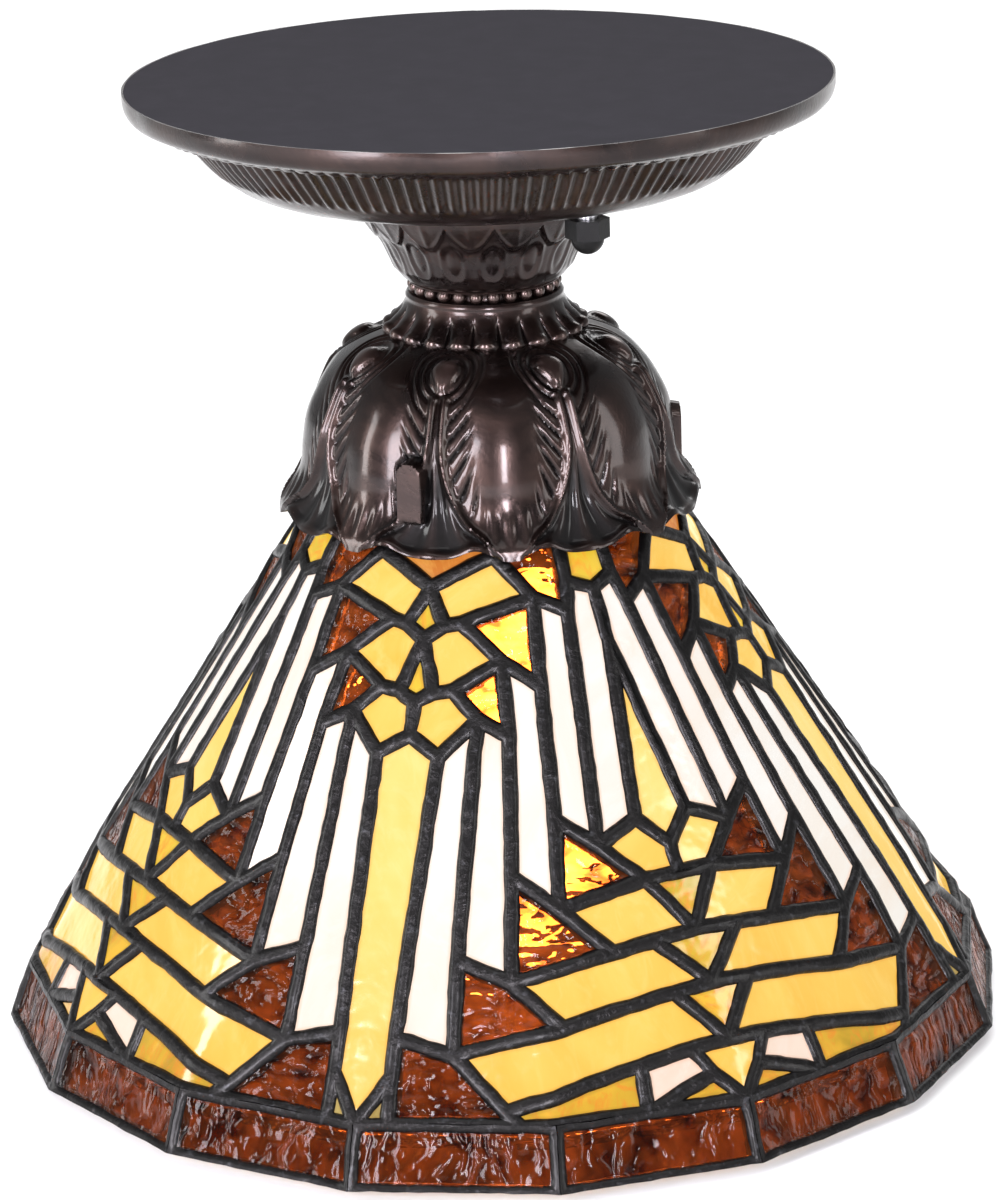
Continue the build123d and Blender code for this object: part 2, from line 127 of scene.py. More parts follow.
def emboss(bm, relief):
    """Raise the outer skin along its normals by relief(turn, along, radius, z)."""
    along = bm.verts.layers.float["along"]
    crest = bm.verts.layers.float["crest"]
    bm.normal_update()
    for vert in bm.verts:
        if vert[along] < 0:
            continue
        height = relief(turn_of(vert.co), vert[along], hypot(vert.co.x, vert.co.y), vert.co.z)
        vert[crest] = height
        vert.co += vert.normal * height


def piece(bm, name, finish, body, slot, *nodes, sharp=50):
    """Object from a mesh in millimetres, with its finish, the body it rides on and what it replaces."""
    bmesh.ops.scale(bm, vec=(MM, MM, MM), verts=bm.verts)
    mesh = bpy.data.meshes.new(name)
    bm.to_mesh(mesh)
    bm.free()
    mesh.shade_smooth()
    mesh.set_sharp_from_angle(angle=radians(sharp))
    made = bpy.data.objects.new(name, mesh)
    bpy.context.scene.collection.objects.link(made)
    mesh.materials.append(finish)
    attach(made, body)
    if nodes:
        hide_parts(*nodes)
    return made


# --- shader building ---------------------------------------------------------------------
def add(tree, kind, inputs=None, **settings):
    """Node of a kind with its settings made and its inputs set or linked."""
    made = tree.nodes.new("ShaderNode" + kind)
    for name, value in settings.items():
        setattr(made, name, value)
    for key, value in (inputs or {}).items():
        if isinstance(value, bpy.types.NodeSocket):
            tree.links.new(value, made.inputs[key])
        else:
            made.inputs[key].default_value = value
    return made


def blend_colours(tree, mask, first, second, blend="MIX"):
    """Colour between two colours by a mask."""
    mix = add(tree, "Mix", {0: mask, 6: first, 7: second}, data_type="RGBA", blend_type=blend)
    return mix.outputs[2]


def sum_of(tree, operation, first, second):
    """Value from a sum on two values."""
    return add(tree, "Math", {0: first, 1: second}, operation=operation).outputs[0]


def spread(tree, value, low, high, new_low=0.0, new_high=1.0):
    """Value moved from one range to another and held inside it."""
    made = add(tree, "MapRange", {0: value, 1: low, 2: high, 3: new_low, 4: new_high})
    return made.outputs[0]


def group(name, inputs, outputs):
    """Empty shader group with named sockets, and its two end nodes."""
    tree = bpy.data.node_groups.new(name, "ShaderNodeTree")
    for kind, label, value in inputs:
        socket = tree.interface.new_socket(label, in_out="INPUT", socket_type="NodeSocket" + kind)
        socket.default_value = value
    for kind, label in outputs:
        tree.interface.new_socket(label, in_out="OUTPUT", socket_type="NodeSocket" + kind)
    return tree, tree.nodes.new("NodeGroupInput"), tree.nodes.new("NodeGroupOutput")


def place_group(tree, shared, inputs):
    """Shared group placed in a material with its own values."""
    made = add(tree, "Group", node_tree=shared)
    for key, value in inputs.items():
        if isinstance(value, bpy.types.NodeSocket):
            tree.links.new(value, made.inputs[key])
        else:
            made.inputs[key].default_value = value
    return made


def new_finish(name, **constants):
    """Material with its shader's all-over values set, and the node tree to go on with."""
    finish = bpy.data.materials.new(name)
    finish.use_nodes = True
    tree = finish.node_tree
    shader = tree.nodes["Principled BSDF"]
    for key, value in constants.items():
        shader.inputs[key.replace("_", " ")].default_value = value
    return finish, tree, shader


def bump(tree, shader, height, distance, strength=1.0):
    """Height fed to the shader's normal as a bump, with its distance in metres."""
    node = add(tree, "Bump", {"Height": height, "Distance": distance, "Strength": strength})
    tree.links.new(node.outputs["Normal"], shader.inputs["Normal"])


def skin_group():
    """Fine unevenness of a handled or cast surface: a height, a smudge mask and a speck mask."""
    tree, given, result = group(
        "surface_skin",
        [("Float", "Grain", 900.0), ("Float", "Smudge", 60.0)],
        [("Float", "Height"), ("Float", "Smudge"), ("Float", "Speck")],
    )
    place = add(tree, "TexCoord").outputs["Object"]
    fine = add(tree, "TexNoise", {"Vector": place, "Scale": given.outputs["Grain"], "Detail": 3.0})
    wide = add(tree, "TexNoise", {
        "Vector": place, "Scale": given.outputs["Smudge"], "Detail": 4.0, "Roughness": 0.6, "Distortion": 0.6
    })
    height = sum_of(tree, "ADD", sum_of(tree, "MULTIPLY", fine.outputs[0], 0.4), wide.outputs[0])
    tree.links.new(height, result.inputs["Height"])
    tree.links.new(spread(tree, wide.outputs[0], 0.35, 0.68), result.inputs["Smudge"])
    tree.links.new(spread(tree, fine.outputs[0], 0.6, 0.72), result.inputs["Speck"])
    return tree


def glow_group():
    """How strongly the lamp inside lights a place on the shade: 1 beside the bulb, less further off."""
    tree, given, result = group("lamp_glow", [("Float", "Falloff", 1.3)], [("Float", "Glow")])
    place = add(tree, "TexCoord").outputs["Object"]
    bulb = (0, 0, -132 * MM)
    far = add(tree, "VectorMath", {0: place, 1: bulb}, operation="DISTANCE").outputs["Value"]
    near = sum_of(tree, "DIVIDE", 66 * MM, far)
    glow = sum_of(tree, "POWER", near, given.outputs["Falloff"])
    tree.links.new(sum_of(tree, "MINIMUM", glow, 1.0), result.inputs["Glow"])
    return tree


def streak_group():
    """Pulled streaks of sheet glass, set differently in each pane: two masks, a height, edge and tone."""
    tree, given, result = group(
        "glass_streaks",
        [("Float", "Streak", 55.0), ("Float", "Stretch", 4.0)],
        [("Float", "Swirl"), ("Float", "Wisp"), ("Float", "Height"), ("Float", "Edge"), ("Float", "Tone")],
    )
    pane = add(tree, "Attribute", attribute_name="pane").outputs["Fac"]
    edge = add(tree, "Attribute", attribute_name="edge").outputs["Fac"]
    place = add(tree, "TexCoord").outputs["Object"]
    turned = add(tree, "VectorRotate", {
        "Vector": place, "Axis": (0.3, 0.5, 0.8), "Angle": sum_of(tree, "MULTIPLY", pane, 6.0)
    })
    squeeze = add(tree, "CombineXYZ", {"X": 1.0, "Y": 1.0, "Z": sum_of(tree, "DIVIDE", 1.0, given.outputs["Stretch"])})
    pulled = add(tree, "VectorMath", {0: turned.outputs[0], 1: squeeze.outputs[0]}, operation="MULTIPLY")
    swirl = add(tree, "TexNoise", {
        "Vector": pulled.outputs[0], "Scale": given.outputs["Streak"], "Detail": 3.0, "Distortion": 1.2
    })
    wisp = add(tree, "TexNoise", {
        "Vector": pulled.outputs[0], "Scale": sum_of(tree, "MULTIPLY", given.outputs["Streak"], 3.1),
        "Detail": 4.0, "Roughness": 0.65, "Distortion": 2.2,
    })
    roll = add(tree, "TexNoise", {"Vector": place, "Scale": 140.0, "Detail": 2.0})
    tree.links.new(spread(tree, swirl.outputs[0], 0.36, 0.66), result.inputs["Swirl"])
    tree.links.new(spread(tree, wisp.outputs[0], 0.48, 0.70), result.inputs["Wisp"])
    tree.links.new(roll.outputs[0], result.inputs["Height"])
    tree.links.new(edge, result.inputs["Edge"])
    tree.links.new(pane, result.inputs["Tone"])
    return tree


def ripple_group():
    """Rippled glass: closely packed uneven waves running up and down, with a tint that goes with them."""
    tree, given, result = group(
        "glass_ripples", [("Float", "Ripple", 260.0), ("Float", "Lie", 1.0)], [("Float", "Height"), ("Float", "Tint")]
    )
    place = add(tree, "TexCoord").outputs["Object"]
    squeeze = add(tree, "CombineXYZ", {"X": 1.0, "Y": 1.0, "Z": given.outputs["Lie"]}).outputs[0]
    pulled = add(tree, "VectorMath", {0: place, 1: squeeze}, operation="MULTIPLY").outputs[0]
    bend = add(tree, "TexNoise", {"Vector": place, "Scale": 90.0, "Detail": 2.0})
    bent = add(tree, "VectorMath", {0: bend.outputs["Color"], 1: (0.012, 0.012, 0.012)}, operation="MULTIPLY")
    moved = add(tree, "VectorMath", {0: pulled, 1: bent.outputs[0]}, operation="ADD").outputs[0]
    wave = add(tree, "TexNoise", {"Vector": moved, "Scale": given.outputs["Ripple"], "Detail": 1.5, "Roughness": 0.4})
    blot = add(tree, "TexNoise", {"Vector": place, "Scale": 85.0, "Detail": 3.0, "Distortion": 1.0})
    tree.links.new(wave.outputs[0], result.inputs["Height"])
    tint = sum_of(tree, "ADD", sum_of(tree, "MULTIPLY", wave.outputs[0], 0.8), sum_of(tree, "MULTIPLY", blot.outputs[0], 0.6))
    tree.links.new(spread(tree, tint, 0.52, 0.86), result.inputs["Tint"])
    return tree


SKIN = skin_group()
GLOW = glow_group()
STREAKS = streak_group()
RIPPLES = ripple_group()


# --- finishes ----------------------------------------------------------------------------
def bronze_finish():
    """Dark mahogany bronze lacquer, rubbed lighter on the crests of the casting."""
    finish, tree, shader = new_finish(
        "bronze", Metallic=0.9, Coat_Weight=0.5, Coat_Roughness=0.12, Coat_IOR=1.4
    )
    skin = place_group(tree, SKIN, {"Grain": 1100.0, "Smudge": 75.0})
    crest = add(tree, "Attribute", attribute_name="crest").outputs["Fac"]
    rubbed = spread(tree, crest, 0.5, 1.4)
    hollow = spread(tree, crest, -0.15, -0.8)
    brown = blend_colours(tree, skin.outputs["Smudge"], (0.012, 0.0072, 0.0068, 1), (0.029, 0.0165, 0.0135, 1))
    worn = blend_colours(tree, rubbed, brown, (0.080, 0.052, 0.046, 1))
    colour = blend_colours(tree, hollow, worn, (0.006, 0.005, 0.005, 1))
    tree.links.new(colour, shader.inputs["Base Color"])
    dull = spread(tree, skin.outputs["Smudge"], 0, 1, 0.24, 0.38)
    rough = sum_of(tree, "ADD", dull, sum_of(tree, "MULTIPLY", hollow, 0.25))
    tree.links.new(rough, shader.inputs["Roughness"])
    bump(tree, shader, skin.outputs["Height"], 0.12 * MM)
    return finish


def plain_finish(name, dark, light, rough, grain=900.0, depth=0.05, **constants):
    """Finish of a fitting: two tones by its smudges, a little grain and an uneven sheen."""
    finish, tree, shader = new_finish(name, **constants)
    skin = place_group(tree, SKIN, {"Grain": grain, "Smudge": grain / 9})
    tone = blend_colours(tree, skin.outputs["Smudge"], (*dark, 1), (*light, 1))
    colour = blend_colours(tree, sum_of(tree, "MULTIPLY", skin.outputs["Speck"], 0.35), tone, (*dark, 1))
    tree.links.new(colour, shader.inputs["Base Color"])
    tree.links.new(spread(tree, skin.outputs["Smudge"], 0, 1, rough, rough + 0.12), shader.inputs["Roughness"])
    bump(tree, shader, skin.outputs["Height"], depth * MM)
    return finish


def came_finish():
    """Solder run over copper foil, blackened, with a soft grey shine on the crown of each bead."""
    finish, tree, shader = new_finish("came", Metallic=0.8, Coat_Weight=0.12, Coat_Roughness=0.2)
    skin = place_group(tree, SKIN, {"Grain": 620.0, "Smudge": 210.0})
    colour = blend_colours(tree, skin.outputs["Smudge"], (0.003, 0.0026, 0.0026, 1), (0.010, 0.009, 0.009, 1))
    # Lighter grey specks: partly bare solder showing through the black, partly painted glints.
    worn = blend_colours(tree, sum_of(tree, "MULTIPLY", skin.outputs["Speck"], 0.5), colour, (0.045, 0.045, 0.050, 1))
    tree.links.new(worn, shader.inputs["Base Color"])
    tree.links.new(spread(tree, skin.outputs["Smudge"], 0, 1, 0.50, 0.32), shader.inputs["Roughness"])
    bump(tree, shader, skin.outputs["Height"], 0.5 * MM)
    return finish


def opal_finish(name, pale, deep, wisp, edge, far, light, streak=55.0, stretch=4.0, wispy=0.5):
    """Opalescent glass that gives out its colour as light, a painted glow standing in for the bulb behind it: a body
    that swirls from pale to deep, wisps, a warmer edge at the came, and a warmer cast far from the bulb."""
    finish, tree, shader = new_finish(name, Roughness=0.14, IOR=1.5, Emission_Strength=light)
    streaks = place_group(tree, STREAKS, {"Streak": streak, "Stretch": stretch})
    glow = place_group(tree, GLOW, {"Falloff": 1.3}).outputs["Glow"]
    swirl = sum_of(tree, "MULTIPLY", streaks.outputs["Swirl"], spread(tree, streaks.outputs["Tone"], 0, 1, 0.5, 1.0))
    body = blend_colours(tree, swirl, (*pale, 1), (*deep, 1))
    body = blend_colours(tree, sum_of(tree, "MULTIPLY", streaks.outputs["Wisp"], wispy), body, (*wisp, 1))
    body = blend_colours(tree, sum_of(tree, "MULTIPLY", streaks.outputs["Edge"], 0.75), body, (*edge, 1))
    tree.links.new(blend_colours(tree, 1.0, body, (0.12, 0.12, 0.12, 1), "MULTIPLY"), shader.inputs["Base Color"])
    # Painted light: away from the bulb the glow turns warmer and a little dimmer.
    cast = blend_colours(tree, spread(tree, glow, 0.5, 0.92), (*far, 1), (1, 1, 1, 1))
    warm = blend_colours(tree, 1.0, body, cast, "MULTIPLY")
    lit = add(tree, "VectorMath", {0: warm, "Scale": spread(tree, glow, 0.4, 0.9, 0.9, 1.0)}, operation="SCALE")
    tree.links.new(lit.outputs[0], shader.inputs["Emission Color"])
    bump(tree, shader, streaks.outputs["Height"], 0.35 * MM)
    return finish


def ripple_finish(name, ripple, lie, depth):
    """Brown rippled glass, clear enough to show the lit bulb and the far side through it."""
    finish, tree, shader = new_finish(
        name, Roughness=0.09, IOR=1.2, Metallic=0.0, Transmission_Weight=1.0, Emission_Strength=0.5
    )
    ripples = place_group(tree, RIPPLES, {"Ripple": ripple, "Lie": lie})
    glow = place_group(tree, GLOW, {"Falloff": 2.0}).outputs["Glow"]
    colour = blend_colours(tree, ripples.outputs["Tint"], (0.035, 0.005, 0.0012, 1), (0.27, 0.058, 0.011, 1))
    tree.links.new(colour, shader.inputs["Base Color"])
    # Painted glow: the brown glass also gives out light of its own tint, stronger near the bulb.
    painted_glow = blend_colours(tree, ripples.outputs["Tint"], (0.008, 0.0015, 0.0006, 1), (0.20, 0.046, 0.009, 1))
    lit = add(tree, "VectorMath", {0: painted_glow, "Scale": spread(tree, glow, 0.2, 1.0, 0.5, 1.5)}, operation="SCALE")
    tree.links.new(lit.outputs[0], shader.inputs["Emission Color"])
    bump(tree, shader, ripples.outputs["Height"], depth * MM)
    return finish


def bulb_finish():
    """Frosted bulb: fierce through the rippled glass, soft and warm to look at straight."""
    finish, tree, shader = new_finish("frosted_bulb", Base_Color=(0.9, 0.88, 0.82, 1), Emission_Strength=60.0)
    skin = place_group(tree, SKIN, {"Grain": 1500.0, "Smudge": 40.0})
    tree.links.new(spread(tree, skin.outputs["Smudge"], 0, 1, 0.35, 0.5), shader.inputs["Roughness"])
    path = add(tree, "LightPath")
    warm = blend_colours(tree, skin.outputs["Smudge"], (1.0, 0.74, 0.36, 1), (1.0, 0.80, 0.46, 1))
    soft = blend_colours(tree, path.outputs["Is Transmission Ray"], (0.045, 0.030, 0.015, 1), warm)
    rim = add(tree, "LayerWeight", {"Blend": 0.35}).outputs["Facing"]
    frost = blend_colours(tree, rim, (0.0165, 0.0150, 0.0118, 1), (0.0120, 0.0088, 0.0052, 1))
    seen = blend_colours(tree, path.outputs["Is Camera Ray"], soft, frost)
    tree.links.new(seen, shader.inputs["Emission Color"])
    bump(tree, shader, skin.outputs["Height"], 0.02 * MM)
    return finish


# --- canopy ------------------------------------------------------------------------------
CANOPY_OUTER = [
    (69, 0), (69, -2), (68.5, -3.6), (67.3, -4.5), (64, -5.2), (60.4, -6.1), (58.4, -7.6), (55.9, -10.7),
    (53.7, -13.3), (51.5, -15.6), (49.8, -17), (47.9, -18.1), (45.5, -18.9), (42, -19.5), (27, -21.8),
]
CANOPY_INNER = [
    (5, -21.8), (5, -19.8), (27, -19.8), (42, -17.6), (47.2, -16.3), (52.2, -12.1), (56.8, -6.6), (60, -4.5),
    (66.6, -2.9), (66.6, -1.3), (68.6, -1.3), (68.6, 0),
]
RIBS = 132


def canopy_relief(turn, along, radius, z):
    """Plain rim, a row of small scallops under it, and a band of upright ribs."""
    rib = cos(radians(turn) * RIBS)
    scallop = cos(radians(turn) * RIBS / 2)
    drift = noise.noise(Vector((turn * 0.35, 0, 0)))
    ends = ease(along, 13.2 + 0.5 * scallop, 14.6 + 0.5 * scallop) * (1 - ease(along, 23.6 + drift, 25.0 + drift))
    flutes = ends * (0.3 * rib ** 0.7 - 0.05 if rib > 0 else -0.38 * abs(rib) ** 0.7 - 0.05)
    row = 0.7 * abs(scallop) ** 0.8 * ease(along, 6.0, 7.6) * (1 - ease(along, 10.2, 12.4))
    return flutes + row + 0.1 * noise.noise(Vector((turn * 0.13, along * 0.3, 0)))


def make_canopy(bronze):
    bm = spun(smooth_line(CANOPY_OUTER, 0.6), CANOPY_INNER, 12, RIBS // 2)
    emboss(bm, canopy_relief)
    return piece(bm, "canopy_casting", bronze, "root", "bronze", "canopy")


# --- neck, beads and collar --------------------------------------------------------------
NECK_OUTER = [
    (25.4, -21.8), (24.4, -24.6), (22.4, -28), (20.2, -31), (18.8, -34), (17.6, -36.8), (16.3, -38.6), (15.2, -39.4),
]
NECK_INNER = [(5, -39.4), (5, -37.6), (14, -37.6), (17, -34.4), (20.8, -27.4), (23.6, -21.8)]
LEAVES = 16


def neck_relief(turn, along, radius, z):
    """Low hanging leaves above, and tall ringed drops below, all worn soft."""
    pitch = 360 / LEAVES
    arc = radians(1) * radius
    near = ((turn - SHADE_TURN) % pitch - pitch / 2) * arc
    half = pitch / 2 * arc
    share = abs(near) / half
    tip = 3.2 + 6.0 * cos(share * pi / 2) ** 0.8
    leaf = 0.34 * (1 - ease(along, tip - 1.0, tip + 0.6)) + 0.22 * exp(-(((along - tip + 0.8) / 0.7) ** 2))
    vein = 0.2 * exp(-((near / 0.6) ** 2)) * (1 - ease(along, tip - 2.5, tip))
    drop = hypot((half - abs(near)) / 2.3, (along - 12.2) / 5.4)
    ring = 0.3 * exp(-(((drop - 1) / 0.24) ** 2)) + 0.28 * max(0.0, 1 - (drop / 0.62) ** 2)
    lobe = 0.22 * exp(-((near / 1.3) ** 2)) * ease(along, tip, tip + 2.5) * (1 - ease(along, 16, 18))
    return leaf + vein + lobe + ring * ease(along, 6.5, 9.0) * (1 - ease(along, 16.6, 18.4)) - 0.15


def make_neck(bronze):
    bm = spun(smooth_line(NECK_OUTER, 0.35), NECK_INNER, LEAVES, 30)
    emboss(bm, neck_relief)
    return piece(bm, "neck_casting", bronze, "root", "bronze", "neck")


def make_beads(bronze):
    """Ring of beads in a groove, under a plain ring. Their outer faces are coloured lighter, partly as rubbed wear and
    partly as a painted highlight.
    """
    outer = smooth_line([
        (14.6, -39.3), (15.0, -39.6), (14.6, -40.0), (13.2, -40.1), (12.9, -40.5), (12.9, -41.5), (13.4, -42.05)
    ], 0.3)
    bm = spun(outer, [(5, -42.05), (5, -39.3)], 8, 12)
    for k in range(BEAD_COUNT):
        spot = Matrix.Rotation(tau * k / BEAD_COUNT, 4, "Z") @ Matrix.Translation((BEAD_RING_R, 0, BEAD_RING_Z))
        bmesh.ops.create_uvsphere(bm, u_segments=18, v_segments=12, radius=1.32, matrix=spot)
    # Outer faces count as crests: coloured lighter, partly rubbed wear and partly a painted highlight.
    crest = bm.verts.layers.float["crest"]
    for vert in bm.verts:
        vert[crest] = ease(hypot(vert.co.x, vert.co.y), 13.0, 14.4)
    return piece(bm, "bead_row", bronze, "root", "bronze", "bead_ring")


COLLAR_OUTER = [(15.2, -41.9), (15.3, -42.6), (15.8, -44), (16.8, -46), (18.3, -47.8), (19.5, -49.0), (19.3, -49.9), (18, -50.2)]
COLLAR_INNER = [(17, -49.3), (14.8, -46), (13.8, -43.6), (5, -43.6), (5, -41.9)]
FLUTES = 22


def collar_relief(turn, along, radius, z):
    """Smooth at the top, then lobes that deepen downwards and end in rounded drops."""
    wave = abs(cos(radians(turn) * FLUTES / 2))
    lobe = wave ** 0.55 - 0.55
    drop = 0.45 * wave ** 2 * exp(-(((along - 8.3) / 0.9) ** 2))
    step = 0.35 * exp(-(((along - 0.7) / 0.5) ** 2))
    return 1.35 * lobe * ease(along, 2.0, 6.6) + drop + step


def make_collar(bronze):
    bm = spun(smooth_line(COLLAR_OUTER, 0.3), COLLAR_INNER, FLUTES, 24)
    emboss(bm, collar_relief)
    return piece(bm, "collar_casting", bronze, "root", "bronze", "collar")


# --- bell: eight feathers whose stems part into the edges of hanging leaves -----------------
BELL_OUTER = [
    (18.6, -49.3), (24, -51.2), (28.5, -54), (31.5, -57.5), (33.6, -61.5), (35.4, -66), (36.3, -71), (36.9, -76),
    (38.6, -80), (40.6, -83.4), (41.8, -85.4),
]
BELL_INNER = [
    (40, -85.4), (38.8, -83.4), (36.8, -80.4), (35.2, -77.9), (33.3, -77.9), (33.3, -77), (35.1, -77), (34.5, -71),
    (33.6, -66.4), (31.8, -62), (29.8, -58.4), (27.2, -55.6), (23, -53.1), (18.4, -51.5), (5, -51.5), (5, -49.3),
]
FEATHERS = 8
FEATHER_PITCH = 360 / FEATHERS
EYE = 8.4  # distance of a feather's eye from the bell's top edge
BELL_EDGE = 45.0  # distance of the bell's lower edge


def from_feather(turn):
    """Turn from the nearest feather's stem, in degrees."""
    return (turn - SHADE_TURN + FEATHER_PITCH / 2) % FEATHER_PITCH - FEATHER_PITCH / 2


def stem_spread(along):
    """Degrees from a feather's middle to the ridge of its stem, which swings out towards the edge."""
    return 2.1 + 17.9 * max(0.0, (along - 20) / 25.6) ** 2.5


def bell_relief(turn, along, radius, z):
    """Eye in rings, a split stem, slanting barbs, smooth leaf backs and a fluted fan between."""
    side = abs(from_feather(turn))
    arc = radians(1) * radius
    across = side * arc
    lower = max(0.0, along - EYE)
    narrow = 2.9 * (1 - 0.4 * min(1.0, lower / 4.6))
    eye = hypot(across / narrow, (along - EYE) / (4.6 if lower else 3.3))
    round_eye = hypot(across / 2.9, (along - EYE) / 3.9)
    height = 1.4 * sqrt(max(0.0, 1 - eye * eye))
    rings = 0.3 * cos((round_eye - 1.55) * tau / 0.55) - 0.25
    height += rings * ease(eye, 1.0, 1.25) * (1 - ease(round_eye, 2.2, 2.75)) * (1 - ease(along, 13, 16.5))

    stem = ease(along, 12.4, 15.5)
    ridge = (side - stem_spread(along)) * arc
    height += stem * 0.85 * exp(-((ridge / 0.75) ** 2))
    fan = stem * ease(-ridge, 0.0, 1.3)
    share = side / stem_spread(along)
    height -= fan * (0.35 + 0.5 * ease(along, 24, 36))
    height += fan * 0.3 * cos(share * pi * 3) * ease(along, 24, 36)

    barb = (along + 0.9 * ridge + 0.07 * ridge * ridge) / 3.9 % 1.0
    gap = exp(-(((barb - 0.08) / 0.14) ** 2)) + exp(-(((barb - 1.08) / 0.14) ** 2))
    vane = ease(ridge, 0.6, 1.4) * (1 - ease(ridge, 4.0, 6.4)) * ease(along, 12, 17) * (1 - ease(along, 33, 39))
    height += vane * (0.3 * barb - 0.5 * gap)

    leaf = FEATHER_PITCH / 2 - side
    height += ease(along, 10, 24) * ease(ridge, 0, 1.5) * (1.1 * cos(min(1.0, leaf / 13) * pi / 2) ** 1.3 - 0.4)
    fold = 0.2 * cos(leaf * arc * tau / 3.1) * ease(along, 35, 40) * (1 - ease(along, 41.5, 44))
    lip = 0.35 * exp(-(((along - 44.6) / 0.9) ** 2))
    return height * (1 - 0.55 * ease(along, 43.2, 45.2)) + fold * (1 - ease(leaf, 6, 9)) * ease(ridge, 0.5, 1.5) + lip


def bell_edge_lift(side):
    """How far the lower edge rises between the feather's fan and the leaf's tip."""
    return 1.9 * exp(-(((side - 13) / 5.0) ** 2))


def make_bell(bronze):
    bm = spun(smooth_line(BELL_OUTER, 0.48), BELL_INNER, FEATHERS, 96)
    along = bm.verts.layers.float["along"]
    crest = bm.verts.layers.float["crest"]
    emboss(bm, bell_relief)
    for vert in bm.verts:
        low = ease(-vert.co.z, 78.5, 85.2)
        vert.co.z += low * bell_edge_lift(abs(from_feather(turn_of(vert.co))))
    for k in range(3):
        turn = radians(BOSS_TURN + 120 * k)
        out = Vector((sin(turn), -cos(turn), 0))
        side = Vector((cos(turn), sin(turn), 0))
        for vert in bm.verts:
            reach = vert.co.dot(out)
            if vert[along] < 0 or reach < 25:
                continue
            beside = hypot(vert.co.dot(side), max(0.0, vert.co.z + 70.1))
            boss = (1 - ease(beside, 2.5, 2.95)) * (1 - ease(-vert.co.z, 79.2, 79.9))
            moat = (1 - ease(beside, 3.0, 3.9)) * (1 - boss) * (1 - ease(-vert.co.z, 78, 80))
            # The groove round each boss is set in and coloured darker as painted shade; the boss faces are coloured
            # lighter like the rubbed crests, partly as a painted lit face.
            vert.co += out * ((38.25 - reach) * boss - 0.5 * moat)
            vert[crest] = vert[crest] * (1 - boss) + 0.75 * boss - 0.5 * moat
    return piece(bm, "bell_casting", bronze, "root", "bronze", "bell")


# --- leaded shade ------------------------------------------------------------------------
# Joints of the came in half a motif: turn from the motif's axis, and height.
JOINTS = {
    "top_a": (0, SHADE_TOP_Z), "top_1": (16, SHADE_TOP_Z), "top_2": (38, SHADE_TOP_Z), "top_b": (45, SHADE_TOP_Z),
    "a0": (0, -91.3), "a1": (0, -99.9), "a2": (0, -110.3), "a3": (0, -115.7), "a_end": (0, SKIRT_Z),
    "b1": (17.5, -85.9), "b2": (28, -93.2), "b3": (36.5, -96), "b5": (38, -91), "b6": (45, -93),
    "k1": (4.8, -97.6), "n1": (9, -97), "n2": (18.7, -103.4), "n4": (27, -107.9), "k2": (3.8, -108.7),
    "n3": (8, -108.2), "n6": (13.4, -112.9), "n5": (19.6, -115.8), "n7": (6, -119.2), "b7": (45, -102),
    "h5": (26.5, -129.8), "g1": (33, -134.8), "g2": (40.2, -131.2), "g3": (45, -136.2), "h2": (18.9, -138.5),
    "h7": (25.6, -144.3), "c1": (39.3, -141.2), "c2": (45, -141), "d1": (45, -150.5), "e1": (38.4, -151.1),
    "i1": (32.3, -152), "h1": (11, -151.8), "h4": (18.2, -155.6), "q1": (24.5, -163.2), "e2": (39.5, -159.9),
    "d2": (45, -159.3), "j1": (3.6, -164.6), "j2": (10.8, -167.3), "j3": (3.6, -170.8), "e3": (40, -169.4),
    "d3": (45, -168.7), "j4": (17, -176.3), "j5": (33.4, -170.9), "j7": (42, -173.8), "s1": (3.6, SKIRT_Z),
    "s2": (18.8, SKIRT_Z), "s3": (33.4, SKIRT_Z), "b_end": (45, SKIRT_Z),
}
# Panes as the joints round them. A pane on an axis is given as the half between two axis joints.
AXIS_PANES = {
    "amber_blades": ["a3 n7 j1 j3 a_end", "b7 g2 g3"],
    "green": ["a0 k1 a1", "a1 k2 a2", "top_b top_2 b5 b6", "c2 c1 d1", "d1 e1 d2", "d2 e2 d3"],
    "orange": ["top_a top_1 b1 a0"],
    "amber": ["d3 e3 j7 b_end"],
}
PANES = {
    "white": [
        "n7 n6 h1 j2 j1", "n6 n5 h2 h4 h1", "n2 n4 h5 h7 h2 n5", "b2 b3 g1 h5 n4", "b5 b6 b7 g2 g1 b3",
    ],
    "amber": [
        "a0 b1 b2 n1 k1", "k1 n1 n2 n3 k2 a1", "a2 k2 n3 n6 n7 a3", "g1 g2 g3 c2 c1", "h7 c1 d1 e1 i1",
        "h4 i1 e1 d2 e2 q1", "j2 q1 e2 d3 e3 j5 j4",
    ],
    "brown": [
        "b1 top_1 top_2 b5 b3 b2", "n1 b2 n4 n2", "n3 n2 n5 n6", "h5 g1 c1 h7", "h2 h7 i1 h4", "h1 h4 q1 j2",
        "j1 j2 j4 s2 s1 j3",
    ],
    "green": ["j4 j5 s3 s2", "s3 j7 b_end"],
    "pink": ["j5 e3 j7 s3"],
    "tips": ["j3 s1 a_end"],
}
KINDS = ["white", "amber_blades", "amber", "brown", "green", "orange", "pink", "tips"]
SLANT_SIN = CONE_SLOPE / sqrt(1 + CONE_SLOPE ** 2)  # sine of the cone's half angle
SLANT_COS = 1 / sqrt(1 + CONE_SLOPE ** 2)


def cone_r(z):
    """Radius of the glass's outer face at a height."""
    return SKIRT_R + CONE_SLOPE * (SKIRT_Z - z)


def unrolled(turn, z):
    """Place on the cone laid out flat, with the motif's axis along -Y and the height above it along Z."""
    slant = cone_r(z) / SLANT_SIN
    angle = radians(turn) * SLANT_SIN
    return Vector((slant * sin(angle), -slant * cos(angle), 0))


